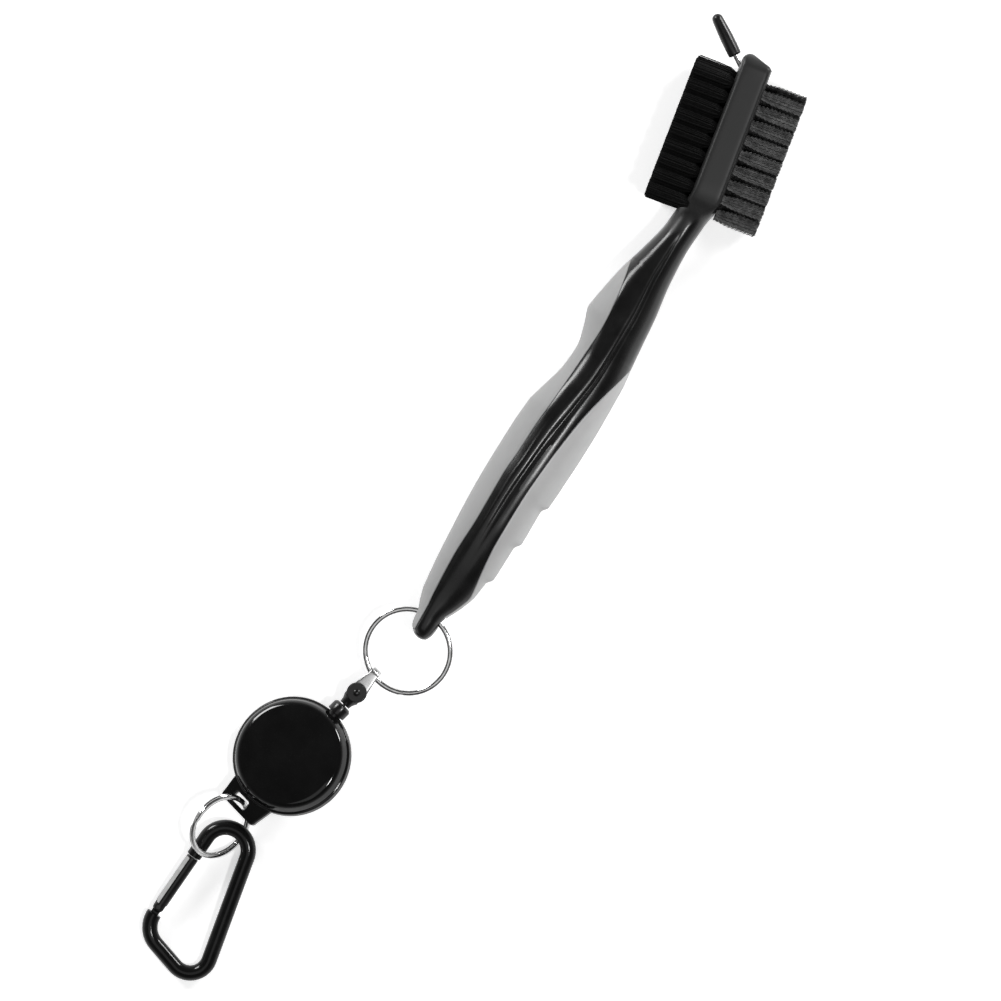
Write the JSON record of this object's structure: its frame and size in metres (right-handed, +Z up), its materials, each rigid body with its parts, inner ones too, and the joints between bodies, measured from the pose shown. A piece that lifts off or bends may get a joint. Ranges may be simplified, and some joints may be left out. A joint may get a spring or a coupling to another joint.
{
  "type": "golf club groove brush",
  "caption": "Two-sided nylon and wire club brush with a gripped handle, folding groove pick, split ring, retracting cord reel and snap-gate clip.",
  "frame": {"origin": "middle of the whole object's box in X and Y, at its lowest level, on the surface that it lies on", "axes": "+Y along the handle from the key ring's eye to the brush head, +X towards the wire bristles, +Z up from the surface, across the width of the head"},
  "size_m": [0.0536, 0.2963, 0.021],
  "materials": {
    "handle_plastic": "satin",
    "nylon_side_pad": "matte",
    "wire_side_pad": "matte",
    "nylon_bristle": "satin",
    "wire_bristle": "satin",
    "anchor_brass": "satin",
    "pick_steel": "satin",
    "pin_steel": "satin",
    "cap_plastic": "satin",
    "ring_chrome": "polished",
    "bail_chrome": "polished",
    "fitting_plastic": "gloss",
    "cord_nylon": "matte",
    "reel_gloss": "gloss",
    "spool_plastic": "satin",
    "spring_steel": "satin",
    "carabiner_paint": "gloss",
    "gate_paint": "gloss"
  },
  "bodies": {
    "brush": {"handle_body": "handle_plastic", "grip_pad_nylon_side": "nylon_side_pad", "grip_pad_wire_side": "wire_side_pad", "nylon_rows_end": "nylon_bristle", "nylon_rows_middle": "nylon_bristle", "wire_rows_end": "wire_bristle", "wire_rows_middle": "wire_bristle", "tuft_anchors": "anchor_brass", "pick_hinge_pin": "pin_steel"},
    "pick": {"groove_pick": "pick_steel"},
    "cap": {"pick_cap": "cap_plastic"},
    "key_ring": {"key_ring": "ring_chrome"},
    "bail": {"bail": "bail_chrome"},
    "cord_end": {"cord_end": "fitting_plastic", "cord_knot": "cord_nylon", "bail_rivet": "pin_steel"},
    "reel": {"reel_front_cover": "reel_gloss", "reel_back_cover": "reel_gloss", "reel_screw": "pin_steel", "cord_guide": "fitting_plastic", "cord_lead": "cord_nylon", "clock_spring": "spring_steel"},
    "spool": {"spool": "spool_plastic", "wound_cord": "cord_nylon"},
    "clip_ring": {"clip_ring": "ring_chrome"},
    "carabiner": {"carabiner_body": "carabiner_paint"},
    "gate": {"carabiner_gate": "gate_paint", "gate_pivot_pin": "pin_steel", "gate_spring": "spring_steel", "gate_plunger": "pin_steel"}
  },
  "joints": [
    {"name": "pick_swing", "type": "hinge", "parent": "brush", "child": "pick", "pos_m": [0.00255, 0.1371, 0.0105], "axis": [0, 0, 1], "range_deg": [-47, 20]},
    {"name": "cap_pull", "type": "slide", "parent": "pick", "child": "cap", "axis": [-0.829, 0.5592, 0], "range_m": [0, 0.012]},
    {"name": "key_ring_swing", "type": "hinge", "parent": "brush", "child": "key_ring", "pos_m": [0.00275, -0.0304, 0.0105], "axis": [1, 0, 0], "range_deg": [-80, 80]},
    {"name": "bail_swing", "type": "hinge", "parent": "key_ring", "child": "bail", "pos_m": [-0.003, -0.05181, 0.00705], "axis": [-0.9059, 0.4199, 0.0545], "range_deg": [-45, 45]},
    {"name": "cord_end_turn", "type": "hinge", "parent": "bail", "child": "cord_end", "pos_m": [-0.00446, -0.05808, 0.0078], "axis": [0, 0, 1], "range_deg": [-30, 30]},
    {"name": "cord_pull", "type": "slide", "parent": "cord_end", "child": "reel", "axis": [-0.2672, -0.9636, 0], "range_m": [0, 0.6], "stiffness_N_per_m": 0.8, "springref_m": -1.2},
    {"name": "spool_spin", "type": "hinge", "parent": "reel", "child": "spool", "pos_m": [-0.01095, -0.0815, 0.0078], "axis": [-0.2656, 0.0737, 0.9613], "range_deg": [0, 3620], "deforming": ["clock_spring"]},
    {"name": "clip_ring_swing", "type": "hinge", "parent": "reel", "child": "clip_ring", "pos_m": [-0.01633, -0.10092, 0.0078], "axis": [0.9263, -0.2569, 0.2756], "range_deg": [-20, 20]},
    {"name": "carabiner_swing", "type": "hinge", "parent": "clip_ring", "child": "carabiner", "pos_m": [-0.01925, -0.11604, 0.0079], "axis": [0.7087, -0.0807, -0.7009], "range_deg": [0, 35]},
    {"name": "gate_swing", "type": "hinge", "parent": "carabiner", "child": "gate", "pos_m": [-0.02175, -0.1345, 0.00305], "axis": [0, 0.075, -0.9972], "range_deg": [0, 26], "stiffness_Nm_per_rad": 0.01, "springref_deg": -34.38, "deforming": ["gate_spring"]}
  ],
  "couplings": [
    {"joint": "spool_spin", "follows": "cord_pull", "rad_per_m": 105}
  ]
}
